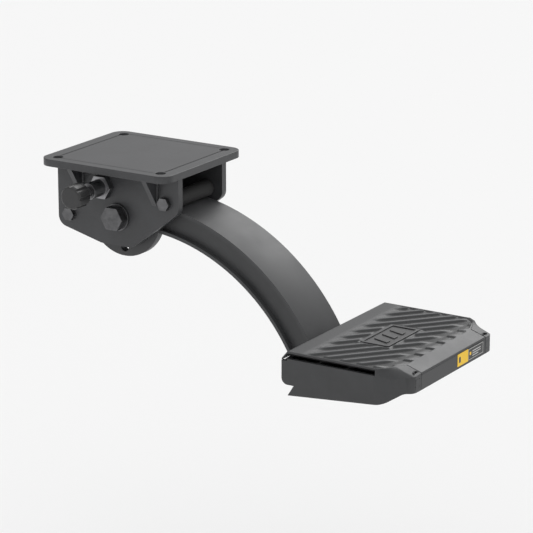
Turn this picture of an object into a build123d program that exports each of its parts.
"""Flip-under tailgate step for a pickup bumper, in millimetres.

Row frame: +X to the vehicle's right, +Y forwards, +Z up. The origin is the centre of the
four mounting holes, on the upper face of the bracket's top plate. The step is drawn
deployed, behind the bumper, so its tread lies towards -Y. The arm turns about a lateral
pivot bolt, and 150 degrees of swing brings the step down, forwards and up under the body.
"""

import os
from math import cos, radians, sin

from build123d import *

# Bracket
PLATE_X = 150.0
PLATE_Y = 164.0
PLATE_T = 8.0
PLATE_CORNER_R = 14.0
MOUNT_HOLE_R = 5.5
MOUNT_SPACING_X = 122.0
MOUNT_SPACING_Y = 132.0
CHEEK_IN_X = 38.0
CHEEK_T = 8.0
GUSSET_T = 6.0

# Pivot
PIVOT_Z = -60.0
PIVOT_R = 8.0
PIVOT_HOLE_R = 8.1
BUSH_BORE_R = 8.05
BUSH_R = 10.0
BUSH_LEN = 24.0
BUSH_FLANGE_R = 15.0
BUSH_FLANGE_T = 1.5
HUB_R = 27.0
HUB_HALF = 34.0
THRUST_T = 2.2
SWING_DEG = 150.0

# Index lock
INDEX_R = 36.0
INDEX_DEG = 60.0
INDEX_PIN_R = 5.0
INDEX_HOLE_R = 5.3
INDEX_FLANGE_R = 46.0
INDEX_FLANGE_T = 10.0
BARREL_R = 9.0
BARREL_BORE_R = 5.08
BARREL_CAVITY_R = 7.0
BARREL_OUT_X = -74.0
BARREL_NOSE_X = -36.5

# Curved arm: a round bow in the Y-Z plane whose centreline runs through the pivot
ARM_IN_R = 212.0
ARM_OUT_R = 243.0
ARM_CENTRE_Y = -20.4
ARM_CENTRE_Z = PIVOT_Z - 226.0
ARM_HALF = 32.0
ARM_FLANGE_T = 3.6
ARM_POCKET_D = 7.0
ARM_TOP_DEG = 84.8
ARM_END_DEG = 157.8

# Stops: rubber sleeves on tie tubes between the cheeks
STOP_TUBE_R = 6.0
STOP_SLEEVE_R = 9.0
STOP_GAP = 0.3
STOP_BOLT_R = 4.0
STOP_HALF = CHEEK_IN_X
DEPLOY_STOP_DEG = 99.3
STOW_STOP_DEG = 100.3

# Step platform. R runs rearwards from the tread's front top edge, Z up from the tread.
TREAD_Y = -245.0
TREAD_Z = PIVOT_Z - 93.0
STEP_HALF = 100.0
REAR_R = 138.0
NOSE_R = 116.0
NOSE_DROP = 7.0
FRONT_R = -6.4
BEVEL_Z = -7.8
CORNER_R = 104.0
CORNER_X = 83.0
CORNER_REAR_R = 137.5
CORNER_FILLET = 14.0
REAR_FILLET = 9.0
DECK_CORNER_R = 101.7
DECK_MID_X = 92.0
DECK_MID_R = 113.0
DECK_SPLIT_R = 121.0
SPLIT_X = 69.0
SPLIT_GAP = 0.7
RAIL_TOP_Z = -9.3
HEEL_R = 110.0
LIP_R = 129.0
LIP_Z = -25.4
LEDGE_Z = -35.5
FOOT_Z = -46.8
HEEL_Z = -37.5
DECK_T = 4.0
SHELL_T = 4.0
CORE_END_X = STEP_HALF - SHELL_T
GROOVE_X = 90.0
CORNER_FLOOR_Z = -12.0
CELL_WALL = 3.0
WEB_TOP_Z = -15.7
WEB_BOT_Z = -19.7
FIT = 0.3

# Tread pattern
FIELD_START_R = 17.0
FIELD_END_R = 112.0
FIELD_DEPTH = 1.4
FIELD_EDGE = 2.5
RIB_PITCH = 14.7
RIB_W = 5.5
RIB_RISE = 0.6
RIB_DEG = -40.0
RIB_START_R = 22.0
RIB_END_R = 107.0
BADGE_X = 67.0
BADGE_Y = 34.0
BADGE_MID_R = 63.0
BADGE_FRAME = 3.0
BADGE_MARGIN = 3.0
LABEL_MID_Z = -16.2

# Arm foot
FOOT_TOP_Z = WEB_BOT_Z - FIT
FOOT_END_R = 88.0
FOOT_BOLT_X = 18.0
FOOT_BOLT_RS = (18.0, 51.0)
FOOT_BOLT_R = 4.0
FOOT_HEAD_R = 6.5
FOOT_HEAD_H = 8.0
FOOT_RECESS = 0.6
FOOT_TOE_FILLET = 12.0

# End cap screws and lugs
LUG_LEN = 14.0
LUG_RS = (24.0, 83.0)
LUG_W = 18.0
CAP_SCREW_X = 89.0
CAP_SCREW_R = 2.5
CAP_HEAD_R = 4.5

# Snap clips in the end caps' rear corners
CLIP_W = 8.0
CLIP_H = 8.0
CLIP_T = 1.6
CLIP_IN = 6.5
CLIP_MID_Z = -16.0
SLOT_IN = 4.2
SLOT_UP = 12.0
SLOT_W = 2.6


def step_y(r):
    return TREAD_Y - r


def step_z(z):
    return TREAD_Z + z


def prism_x(face, x0, x1):
    """Extrude a face drawn with local x = Y and local y = Z from x0 to x1."""
    return extrude(Plane.YZ.offset(x0) * face, amount=x1 - x0)


def step_face(points):
    """Face from (R, Z) points of the platform's side view."""
    return make_face(Polyline([(step_y(r), step_z(z)) for r, z in points], close=True))


def step_box(x0, x1, r0, r1, z0, z1):
    low = (min(x0, x1), step_y(max(r0, r1)), step_z(min(z0, z1)))
    size = (abs(x1 - x0), abs(r1 - r0), abs(z1 - z0))
    return Pos(*low) * Box(*size, align=(Align.MIN, Align.MIN, Align.MIN))


def rod_x(radius, x0, x1, y, z):
    """Round bar along X."""
    return Pos((x0 + x1) / 2, y, z) * Rot(0, 90, 0) * Cylinder(radius, abs(x1 - x0))


def hex_x(flat_r, x0, x1, y, z):
    """Hexagon prism along X, with flat_r as half its width across flats."""
    face = Pos(y, z) * RegularPolygon(flat_r, 6, major_radius=False)
    return prism_x(face, x0, x1)


def tube_x(outer_r, bore_r, x0, x1, y, z):
    return rod_x(outer_r, x0, x1, y, z) - rod_x(bore_r, x0 - 1, x1 + 1, y, z)


def mirror_x(part):
    return mirror(part, about=Plane.YZ)


def index_place():
    """Y and Z of the lock pin's axis."""
    y = INDEX_R * cos(radians(INDEX_DEG))
    z = PIVOT_Z + INDEX_R * sin(radians(INDEX_DEG))
    return y, z


def arm_point(radius, degrees_up):
    """Y and Z of a point of the bow, by radius and angle from +Y about its centre."""
    a = radians(degrees_up)
    return ARM_CENTRE_Y + radius * cos(a), ARM_CENTRE_Z + radius * sin(a)


def swung(y, z, degrees_on):
    """A point of the arm after it has turned about the pivot."""
    a = radians(degrees_on)
    dy, dz = y, z - PIVOT_Z
    return dy * cos(a) - dz * sin(a), PIVOT_Z + dy * sin(a) + dz * cos(a)


def deploy_stop_place():
    return arm_point(ARM_OUT_R + STOP_SLEEVE_R + STOP_GAP, DEPLOY_STOP_DEG)


def stow_stop_place():
    y, z = arm_point(ARM_IN_R - STOP_SLEEVE_R - STOP_GAP, STOW_STOP_DEG)
    return swung(y, z, SWING_DEG)


# ---------------------------------------------------------------- bracket


def top_plate():
    plate = extrude(RectangleRounded(PLATE_X, PLATE_Y, PLATE_CORNER_R), amount=-PLATE_T)
    for x in (-MOUNT_SPACING_X / 2, MOUNT_SPACING_X / 2):
        for y in (-MOUNT_SPACING_Y / 2, MOUNT_SPACING_Y / 2):
            plate -= Pos(x, y, -PLATE_T / 2) * Cylinder(MOUNT_HOLE_R, PLATE_T * 2)
    return plate


def cheek_face():
    half_top = PLATE_Y / 2 - 4
    corners = [
        (-half_top, -PLATE_T),
        (-half_top, -46),
        (-18, -92),
        (22, -92),
        (half_top, -78),
        (half_top, -PLATE_T),
    ]
    face = make_face(Polyline(corners, close=True))
    lower = [v for v in face.vertices() if v.Y < -PLATE_T - 1]
    return fillet(lower, radius=12)


def cheek(side):
    """Side plate of the bracket. side is -1 for the left one, which carries the lock."""
    inner, outer = CHEEK_IN_X, CHEEK_IN_X + CHEEK_T
    plate = prism_x(cheek_face(), inner, outer)
    plate -= rod_x(PIVOT_HOLE_R, inner - 1, outer + 1, 0, PIVOT_Z)
    for y, z in (deploy_stop_place(), stow_stop_place()):
        plate -= rod_x(STOP_BOLT_R + 0.2, inner - 1, outer + 1, y, z)
    if side < 0:
        plate -= rod_x(BARREL_R, inner - 1, outer + 1, *index_place())
        plate = mirror_x(plate)
    return plate


def gusset(side, y):
    """Triangular rib between the top plate and the outside of a cheek."""
    x0 = CHEEK_IN_X + CHEEK_T
    face = make_face(
        Polyline([(x0, -PLATE_T), (x0 + 22, -PLATE_T), (x0, -PLATE_T - 34)], close=True)
    )
    rib = extrude(Plane.XZ.offset(-y - GUSSET_T / 2) * face, amount=GUSSET_T)
    return mirror_x(rib) if side < 0 else rib


def pivot_bolt():
    head_out = -(CHEEK_IN_X + CHEEK_T + 2.5)
    shank = rod_x(PIVOT_R, head_out, 64, 0, PIVOT_Z)
    head = hex_x(12, head_out - 10, head_out, 0, PIVOT_Z)
    return shank + head


def pivot_washers():
    x = CHEEK_IN_X + CHEEK_T
    left = tube_x(15, PIVOT_HOLE_R, -x - 2.5, -x, 0, PIVOT_Z)
    right = tube_x(15, PIVOT_HOLE_R, x, x + 2.5, 0, PIVOT_Z)
    return [left, right]


def disc_springs():
    """Pair of cupped washers, face to face, that clamp the hub between the cheeks."""
    x0 = CHEEK_IN_X + CHEEK_T + 2.5
    cup = make_face(
        Polyline([(8.2, 0), (14, 1.2), (14, 2.7), (8.2, 1.5)], close=True)
    )
    ring = revolve(Plane.XZ * cup, axis=Axis.Z, revolution_arc=360)
    first = Pos(x0 + 2.7, 0, PIVOT_Z) * Rot(0, -90, 0) * ring
    second = Pos(x0 + 2.7, 0, PIVOT_Z) * Rot(0, 90, 0) * ring
    return [first, second]


def pivot_nut():
    x0 = CHEEK_IN_X + CHEEK_T + 2.5 + 5.4
    nut = hex_x(12, x0, x0 + 13, 0, PIVOT_Z)
    return nut - rod_x(PIVOT_R, x0 - 1, x0 + 14, 0, PIVOT_Z)


def thrust_washer(side):
    ring = tube_x(18, PIVOT_HOLE_R, CHEEK_IN_X - THRUST_T, CHEEK_IN_X, 0, PIVOT_Z)
    return mirror_x(ring) if side < 0 else ring


def stop_tube(place):
    return tube_x(STOP_TUBE_R, STOP_BOLT_R + 0.2, -STOP_HALF, STOP_HALF, *place)


def stop_sleeve(place):
    sleeve = tube_x(STOP_SLEEVE_R, STOP_TUBE_R, -STOP_HALF + 4, STOP_HALF - 4, *place)
    return fillet(sleeve.edges().filter_by(GeomType.CIRCLE), 0.8)


def stop_bolt(place):
    outer = CHEEK_IN_X + CHEEK_T
    shank = rod_x(STOP_BOLT_R, -outer, outer + 10, *place)
    return shank + hex_x(6.5, -outer - 5.3, -outer, *place)


def stop_nut(place):
    outer = CHEEK_IN_X + CHEEK_T
    nut = hex_x(6.5, outer, outer + 7.5, *place)
    return nut - rod_x(STOP_BOLT_R, outer - 1, outer + 9, *place)


# ---------------------------------------------------------------- index lock


def lock_barrel():
    y, z = index_place()
    body = rod_x(BARREL_R, BARREL_OUT_X, BARREL_NOSE_X, y, z)
    collar_x = -(CHEEK_IN_X + CHEEK_T)
    body += hex_x(12, collar_x - 8, collar_x, y, z)
    body -= rod_x(BARREL_BORE_R, BARREL_OUT_X - 1, BARREL_NOSE_X + 1, y, z)
    cavity_x0, cavity_x1 = BARREL_OUT_X + 3, BARREL_NOSE_X - 3
    return body - rod_x(BARREL_CAVITY_R, cavity_x0, cavity_x1, y, z)


def lock_pin():
    """Drawn parked: its nose stands clear of the index flange."""
    y, z = index_place()
    nose_x = -HUB_HALF - 2.0
    pin = rod_x(INDEX_PIN_R, BARREL_OUT_X - 16, nose_x, y, z)
    pin = chamfer(pin.edges().filter_by(GeomType.CIRCLE).sort_by(Axis.X)[-1], 1.2)
    collar = rod_x(6.6, -56.5, -54, y, z)
    return pin + collar


def lock_spring():
    """Coil between the barrel's outer end and the pin's collar."""
    y, z = index_place()
    length = 13.0
    coil = Helix(pitch=2.6, height=length - 1.0, radius=6.0)
    wire = sweep(Plane(origin=coil @ 0, z_dir=coil % 0) * Circle(0.5), path=coil)
    return Pos(-70.2, y, z) * Rot(0, 90, 0) * wire


def pull_knob():
    y, z = index_place()
    x0 = BARREL_OUT_X - 12
    knob = rod_x(13, x0 - 20, x0, y, z)
    knob = fillet(knob.edges().filter_by(GeomType.CIRCLE), 3)
    for n in range(8):
        a = radians(n * 45)
        knob -= rod_x(2.2, x0 - 30, x0 + 1, y + 13.6 * cos(a), z + 13.6 * sin(a))
    return knob - rod_x(INDEX_PIN_R, x0 - 4, x0 + 1, y, z)


# ---------------------------------------------------------------- arm


def bow_face(r0, r1, deg0, deg1):
    """Ring sector about the bow's centre, drawn in the Y-Z plane."""
    inner = CenterArc((ARM_CENTRE_Y, ARM_CENTRE_Z), r0, deg0, deg1 - deg0)
    outer = CenterArc((ARM_CENTRE_Y, ARM_CENTRE_Z), r1, deg0, deg1 - deg0)
    ends = [Line(inner @ 0, outer @ 0), Line(inner @ 1, outer @ 1)]
    return make_face([inner.edge(), outer.edge(), ends[0].edge(), ends[1].edge()])


def foot_bottom(r):
    """Z of the platform's underside at R, where it slopes up towards the rear."""
    return FOOT_Z + (HEEL_Z - FOOT_Z) * (r - 0.9) / (CORNER_R - 0.9)


def arm_profile():
    """Side view of the bow with its foot, flush with the platform's sloping underside."""
    bow = bow_face(ARM_IN_R, ARM_OUT_R, ARM_TOP_DEG, ARM_END_DEG + 2.7)
    toe_r, cut_r = -28, -80
    foot = step_face(
        [
            (-12, FOOT_TOP_Z),
            (FOOT_END_R, FOOT_TOP_Z),
            (FOOT_END_R, foot_bottom(FOOT_END_R) + FOOT_RECESS),
            (toe_r, foot_bottom(toe_r) + FOOT_RECESS),
        ]
    )
    below = step_face(
        [
            (cut_r, foot_bottom(cut_r) + FOOT_RECESS),
            (20, foot_bottom(20) + FOOT_RECESS),
            (20, -90),
            (cut_r, -90),
        ]
    )
    profile = bow + foot - below
    toe = min(
        profile.vertices(),
        key=lambda v: abs(v.X - step_y(-31)) + abs(v.Y - step_z(foot_bottom(-31))),
    )
    return fillet([toe], FOOT_TOE_FILLET)


def swing_arm():
    beam = prism_x(arm_profile(), -ARM_HALF, ARM_HALF)
    pocket = bow_face(
        ARM_IN_R + ARM_FLANGE_T,
        ARM_OUT_R - ARM_FLANGE_T,
        ARM_TOP_DEG + 10,
        ARM_END_DEG - 4,
    )
    pocket = fillet(pocket.vertices(), 5)
    beam -= prism_x(pocket, ARM_HALF - ARM_POCKET_D, ARM_HALF + 1)
    beam -= prism_x(pocket, -ARM_HALF - 1, -ARM_HALF + ARM_POCKET_D)
    beam += rod_x(HUB_R, -HUB_HALF, HUB_HALF, 0, PIVOT_Z)
    beam += rod_x(INDEX_FLANGE_R, -HUB_HALF, -HUB_HALF + INDEX_FLANGE_T, 0, PIVOT_Z)
    beam -= rod_x(BUSH_R, -HUB_HALF - 1, HUB_HALF + 1, 0, PIVOT_Z)
    for degrees_on in (0.0, -SWING_DEG):
        y, z = swung(*index_place(), degrees_on)
        beam -= rod_x(INDEX_HOLE_R, -HUB_HALF - 1, -HUB_HALF + INDEX_FLANGE_T + 1, y, z)
    for x, r in foot_bolt_places():
        beam -= up_rod(FOOT_BOLT_R + 0.2, x, r, -60, 0)
        beam -= up_rod(FOOT_HEAD_R + 0.5, x, r, -60, foot_head_z(r) + FOOT_HEAD_H)
    return beam


def foot_bolt_places():
    return [(x, r) for r in FOOT_BOLT_RS for x in (-FOOT_BOLT_X, FOOT_BOLT_X)]


def foot_head_z(r):
    """Z of the lower face of a foot bolt's head."""
    return foot_bottom(r) + 2.0


def up_rod(radius, x, r, z0, z1):
    """Upright round bar in the platform's own R and Z."""
    return Pos(x, step_y(r), step_z((z0 + z1) / 2)) * Cylinder(radius, abs(z1 - z0))


def bushing(side):
    inner, outer = HUB_HALF - BUSH_LEN, HUB_HALF
    sleeve = rod_x(BUSH_R, inner, outer, 0, PIVOT_Z)
    sleeve += rod_x(BUSH_FLANGE_R, outer, outer + BUSH_FLANGE_T, 0, PIVOT_Z)
    sleeve -= rod_x(BUSH_BORE_R, inner - 1, outer + 4, 0, PIVOT_Z)
    return mirror_x(sleeve) if side < 0 else sleeve


def foot_bolts():
    bolts = []
    for x, r in foot_bolt_places():
        head = up_rod(FOOT_HEAD_R, x, r, foot_head_z(r), foot_head_z(r) + FOOT_HEAD_H)
        head -= Pos(x, step_y(r), step_z(foot_head_z(r))) * extrude(
            RegularPolygon(3, 6, major_radius=False), amount=4
        )
        bolts.append(head + up_rod(FOOT_BOLT_R, x, r, foot_head_z(r) + 4, -9.5))
    return bolts


def nut_bar(r):
    bar = step_box(-28, 28, r - 11, r + 11, WEB_TOP_Z, WEB_TOP_Z + 5)
    for x in (-FOOT_BOLT_X, FOOT_BOLT_X):
        bar -= up_rod(FOOT_BOLT_R, x, r, WEB_TOP_Z - 1, WEB_TOP_Z + 6)
    return bar


# ---------------------------------------------------------------- platform


def plan_face(inset):
    """Outline of the platform seen from above, moved inwards by inset."""
    corners = [
        (-STEP_HALF, step_y(FRONT_R)),
        (-STEP_HALF, step_y(CORNER_R)),
        (-CORNER_X, step_y(CORNER_REAR_R)),
        (-SPLIT_X, step_y(REAR_R)),
        (SPLIT_X, step_y(REAR_R)),
        (CORNER_X, step_y(CORNER_REAR_R)),
        (STEP_HALF, step_y(CORNER_R)),
        (STEP_HALF, step_y(FRONT_R)),
    ]
    face = make_face(Polyline(corners, close=True))
    side_corners = [v for v in face.vertices() if abs(v.Y - step_y(CORNER_R)) < 1]
    face = fillet(side_corners, CORNER_FILLET)
    rear_corners = [v for v in face.vertices() if abs(v.Y - step_y(CORNER_REAR_R)) < 0.1]
    face = fillet(rear_corners, REAR_FILLET)
    if inset:
        face = offset(face, amount=-inset)
        strip_x = STEP_HALF - inset
        face += Pos(0, step_y(0)) * Rectangle(strip_x * 2, 30)
    return face


def plan_prism(inset):
    return Pos(0, 0, step_z(-60)) * extrude(plan_face(inset), amount=80)


def outer_profile():
    points = [
        (0, 0),
        (FRONT_R, BEVEL_Z),
        (FRONT_R, LEDGE_Z),
        (8, LEDGE_Z),
        (0.9, FOOT_Z),
        (HEEL_R, HEEL_Z),
        (LIP_R, LIP_Z),
        (REAR_R, LIP_Z),
        (REAR_R, -NOSE_DROP),
        (NOSE_R, 0),
    ]
    face = step_face(points)
    for r, z, radius in ((FRONT_R, LEDGE_Z, 7), (HEEL_R, HEEL_Z, 25), (LIP_R, LIP_Z, 12)):
        corner = min(
            face.vertices(), key=lambda v: abs(v.X - step_y(r)) + abs(v.Y - step_z(z))
        )
        face = fillet([corner], radius)
    return face


def nose_z(r):
    """Height of the tread's top surface at R."""
    return -NOSE_DROP * max(0.0, r - NOSE_R) / (REAR_R - NOSE_R)


def platform_block():
    return prism_x(outer_profile(), -STEP_HALF, STEP_HALF) & plan_prism(0)


def deck_profile(top_cut, bottom_cut):
    """Side view of the tread shell between two depths below its top surface."""
    points = [
        (0, -top_cut),
        (FRONT_R, BEVEL_Z - top_cut),
        (FRONT_R, BEVEL_Z - bottom_cut),
        (1.5, -bottom_cut),
        (NOSE_R, -bottom_cut),
        (REAR_R, -NOSE_DROP - bottom_cut),
        (REAR_R, -NOSE_DROP - top_cut),
        (NOSE_R, -top_cut),
    ]
    return step_face(points)


def deck_plan(edge_x, corner_x, back):
    """Tread outline: straight sides, then round the corners to the end caps' splits."""
    right = [
        (edge_x, FRONT_R - 1),
        (edge_x, DECK_CORNER_R + 1.3 - back),
        (DECK_MID_X - back / 2, DECK_MID_R - back),
        (corner_x, DECK_SPLIT_R - back),
        (corner_x, REAR_R + 1),
    ]
    left = [(-x, r) for x, r in reversed(right)]
    points = [(x, step_y(r)) for x, r in right + left]
    return make_face(Polyline(points, close=True))


def deck_prism(edge_x, corner_x, back):
    face = deck_plan(edge_x, corner_x, back)
    return Pos(0, 0, step_z(-60)) * extrude(face, amount=80)


def badge_room(margin, z0, z1):
    half_x, half_y = BADGE_X / 2 + margin, BADGE_Y / 2 + margin
    return step_box(
        -half_x, half_x, BADGE_MID_R - half_y, BADGE_MID_R + half_y, z0, z1
    )


def tread_plate():
    skin = prism_x(deck_profile(0, 2), -STEP_HALF, STEP_HALF)
    skin &= deck_prism(STEP_HALF - 0.5, SPLIT_X - SPLIT_GAP, 0)
    back = prism_x(deck_profile(2, DECK_T), -STEP_HALF, STEP_HALF)
    back &= deck_prism(GROOVE_X, SPLIT_X - 4, 4)
    back -= step_box(-STEP_HALF, STEP_HALF, REAR_R - SHELL_T - FIT, REAR_R + 1, -20, 0)
    field = step_box(
        -STEP_HALF, STEP_HALF, FIELD_START_R, FIELD_END_R, -FIELD_DEPTH, 3
    )
    field &= deck_prism(STEP_HALF - FIELD_EDGE, SPLIT_X - FIELD_EDGE, FIELD_EDGE + 3)
    plate = skin + back - field + tread_ribs()
    plate += badge_room(BADGE_MARGIN, -2, 0)
    return plate - badge_room(0.2, -1.2, 3)


def corner_block():
    """Space over the right rear corner that the end cap fills, under a twisting bevel."""
    sections = []
    for x, r, z, out, slope in (
        (STEP_HALF + 0.5, DECK_CORNER_R, 0, 3.3, 3.9),
        (DECK_MID_X, DECK_MID_R, 0, 6.7, 1.58),
        (CORNER_X, 116.1, 0, 22.5, 0.4),
        (SPLIT_X, DECK_SPLIT_R, nose_z(DECK_SPLIT_R), 18.0, 0.318),
    ):
        points = [(r, z), (r + out, z - out * slope), (r + out, -60), (r, -60)]
        sections.append(Pos(x, 0, 0) * (Plane.YZ * step_face(points)))
    return loft(sections, ruled=True) & platform_block()


def tread_ribs():
    """Parallel raised bars across the tread, at an angle to its front edge."""
    field = step_box(
        -STEP_HALF, STEP_HALF, RIB_START_R, RIB_END_R, -FIELD_DEPTH - 0.2, RIB_RISE
    )
    field &= deck_prism(STEP_HALF - 1.2, SPLIT_X - FIELD_EDGE, 6)
    field -= badge_room(BADGE_MARGIN, -3, 3)
    middle = Pos(0, step_y((RIB_START_R + RIB_END_R) / 2), step_z(0))
    ribs = Part()
    for n in range(-7, 8):
        bar = Box(300, RIB_W, 4)
        place = middle * Rot(0, 0, RIB_DEG) * Pos(0, n * RIB_PITCH, 0)
        ribs += (place * bar) & field
    return ribs


def step_core():
    """Hollow extrusion that carries the tread, open at both ends for the caps."""
    core = prism_x(outer_profile(), -CORE_END_X, CORE_END_X)
    core &= plan_prism(SHELL_T)
    bevel_slope = -BEVEL_Z / (1.5 - FRONT_R)
    lid = [
        (-20, -DECK_T - 21.5 * bevel_slope),
        (1.5, -DECK_T),
        (NOSE_R, -DECK_T),
        (REAR_R + 2, nose_z(REAR_R + 2) - DECK_T),
        (REAR_R + 2, 10),
        (-20, 10),
    ]
    core -= prism_x(step_face(lid), -STEP_HALF, STEP_HALF)
    core -= step_box(-STEP_HALF, STEP_HALF, REAR_R - SHELL_T, REAR_R + 1, -60, 5)
    for r0, r1 in ((2, 33), (36, 66), (69, 99), (102, 128)):
        top = nose_z(r1) - DECK_T - CELL_WALL
        core -= step_box(-STEP_HALF, STEP_HALF, r0, r1, WEB_TOP_Z, top)
    for r0, r1 in ((13, 34), (37, 67), (70, 95)):
        floor = max(foot_bottom(r0), foot_bottom(r1)) + CELL_WALL
        core -= step_box(-STEP_HALF, STEP_HALF, r0, r1, floor, WEB_BOT_Z)
    corner_r = DECK_CORNER_R - 6
    for x0, x1 in ((SPLIT_X - 3.5, STEP_HALF), (-STEP_HALF, 3.5 - SPLIT_X)):
        core -= step_box(x0, x1, corner_r, REAR_R + 1, CORNER_FLOOR_Z, 0)
    for x0, x1 in ((GROOVE_X, STEP_HALF), (-STEP_HALF, -GROOVE_X)):
        core -= step_box(x0, x1, FRONT_R - 1, DECK_CORNER_R, BEVEL_Z, 0)
    core -= foot_pocket()
    for x, r in foot_bolt_places():
        core -= up_rod(FOOT_BOLT_R + 0.2, x, r, WEB_BOT_Z - 2, WEB_TOP_Z + 2)
    for x, r in cap_screw_places():
        core -= up_rod(CAP_SCREW_R + 0.2, x, r, -60, -34)
        core -= up_rod(CAP_HEAD_R + 0.5, x, r, -60, foot_bottom(r) + 0.6)
    return core


def foot_pocket():
    half = ARM_HALF + FIT
    return step_box(-half, half, FRONT_R - 1, FOOT_END_R + FIT, -60, WEB_BOT_Z)


def rear_rail():
    half = SPLIT_X - SPLIT_GAP
    return step_box(-half, half, REAR_R - SHELL_T, REAR_R, LIP_Z, RAIL_TOP_Z)


def cap_screw_places():
    return [(side * CAP_SCREW_X, r) for side in (-1, 1) for r in LUG_RS]


def clip_place():
    """Middle of the right clip's window, on the rear face beside the split."""
    return Pos(SPLIT_X + CLIP_IN, step_y(REAR_R - 0.2), step_z(CLIP_MID_Z))


def end_cap(side):
    """Moulded cover over one end and the rear corner, with two lugs inside the core."""
    wide = STEP_HALF + 1
    end_wall = platform_block() - plan_prism(SHELL_T)
    end_wall &= step_box(SPLIT_X, wide, FRONT_R - 1, CORNER_R + 4, -60, BEVEL_Z)
    end_wall -= step_box(SPLIT_X, wide, FRONT_R - 1, 0, BEVEL_Z - 2.2, 0)
    corner = corner_block()
    below = step_box(0, wide, FRONT_R - 1, REAR_R + 1, -60, CORNER_FLOOR_Z)
    corner -= plan_prism(SHELL_T) & below
    wall = end_wall + corner
    for r in LUG_RS:
        low = foot_bottom(r + LUG_W / 2) + CELL_WALL + 1.5
        wall += step_box(
            CORE_END_X - LUG_LEN, CORE_END_X + 1, r - LUG_W / 2, r + LUG_W / 2, low, -21
        )
        wall -= up_rod(CAP_SCREW_R, CAP_SCREW_X, r, -60, -26)
    wall -= clip_place() * Box(CLIP_W + 0.4, CLIP_T * 2, CLIP_H + 0.4)
    wall -= clip_place() * Pos(-2, SLOT_IN, SLOT_UP) * Box(CLIP_W - 1, SLOT_W, 12)
    return mirror_x(wall) if side < 0 else wall


def cap_clip(side):
    """Snap tab that fills the window in the cap's corner."""
    tab = Box(CLIP_W, CLIP_T * 2, CLIP_H)
    tab = fillet(tab.edges().filter_by(Axis.Y), 1.4)
    tab = (clip_place() * tab) & plan_prism(0)
    return mirror_x(tab) if side < 0 else tab


def cap_screws():
    screws = []
    for x, r in cap_screw_places():
        seat = foot_bottom(r) + 0.6
        head = up_rod(CAP_HEAD_R, x, r, seat - 2.4, seat)
        screws.append(head + up_rod(CAP_SCREW_R, x, r, seat - 1, -27))
    return screws


def badge():
    """Plain framed plaque set into the middle of the tread."""
    y = step_y(BADGE_MID_R)
    plate = Pos(0, y, step_z(-1.2)) * extrude(
        RectangleRounded(BADGE_X, BADGE_Y, 3), amount=1.0
    )
    frame = RectangleRounded(BADGE_X, BADGE_Y, 3)
    frame -= RectangleRounded(BADGE_X - 2 * BADGE_FRAME, BADGE_Y - 2 * BADGE_FRAME, 1)
    return plate + Pos(0, y, step_z(-0.3)) * extrude(frame, amount=1.3)


def label(x0, x1):
    """Thin sticker on the rear rail's face."""
    return step_box(x0, x1, REAR_R, REAR_R + 0.3, LABEL_MID_Z - 6.6, LABEL_MID_Z + 6.6)


def save(name, shape):
    solids = shape if isinstance(shape, list) else [shape]
    whole = [s for item in solids for s in item.solids()]
    body = whole[0] if len(whole) == 1 else Compound(children=whole)
    export_step(body, f"parts/{name}.step")


def main():
    os.makedirs("parts", exist_ok=True)
    stops = (deploy_stop_place(), stow_stop_place())
    save("top_plate", top_plate())
    for name, side in (("left", -1), ("right", 1)):
        save(f"cheek_{name}", cheek(side))
        save(f"gusset_front_{name}", gusset(side, 48))
        save(f"gusset_rear_{name}", gusset(side, -48))
        save(f"thrust_washer_{name}", thrust_washer(side))
        save(f"bushing_{name}", bushing(side))
        save(f"end_cap_{name}", end_cap(side))
        save(f"cap_clip_{name}", cap_clip(side))
    save("pivot_bolt", pivot_bolt())
    save("pivot_washers", pivot_washers())
    save("disc_springs", disc_springs())
    save("pivot_nut", pivot_nut())
    for name, place in zip(("deploy", "stow"), stops):
        save(f"stop_tube_{name}", stop_tube(place))
        save(f"stop_sleeve_{name}", stop_sleeve(place))
    save("stop_bolts", [stop_bolt(place) for place in stops])
    save("stop_nuts", [stop_nut(place) for place in stops])
    save("lock_barrel", lock_barrel())
    save("lock_pin", lock_pin())
    save("lock_spring", lock_spring())
    save("pull_knob", pull_knob())
    save("swing_arm", swing_arm())
    save("foot_bolts", foot_bolts())
    save("nut_bar_front", nut_bar(FOOT_BOLT_RS[0]))
    save("nut_bar_rear", nut_bar(FOOT_BOLT_RS[1]))
    save("step_core", step_core())
    save("tread_plate", tread_plate())
    save("rear_rail", rear_rail())
    save("cap_screws", cap_screws())
    save("badge", badge())
    save("label_square", label(7.6, 30.5))
    save("label_strip", label(30.5, 63.8))


main()
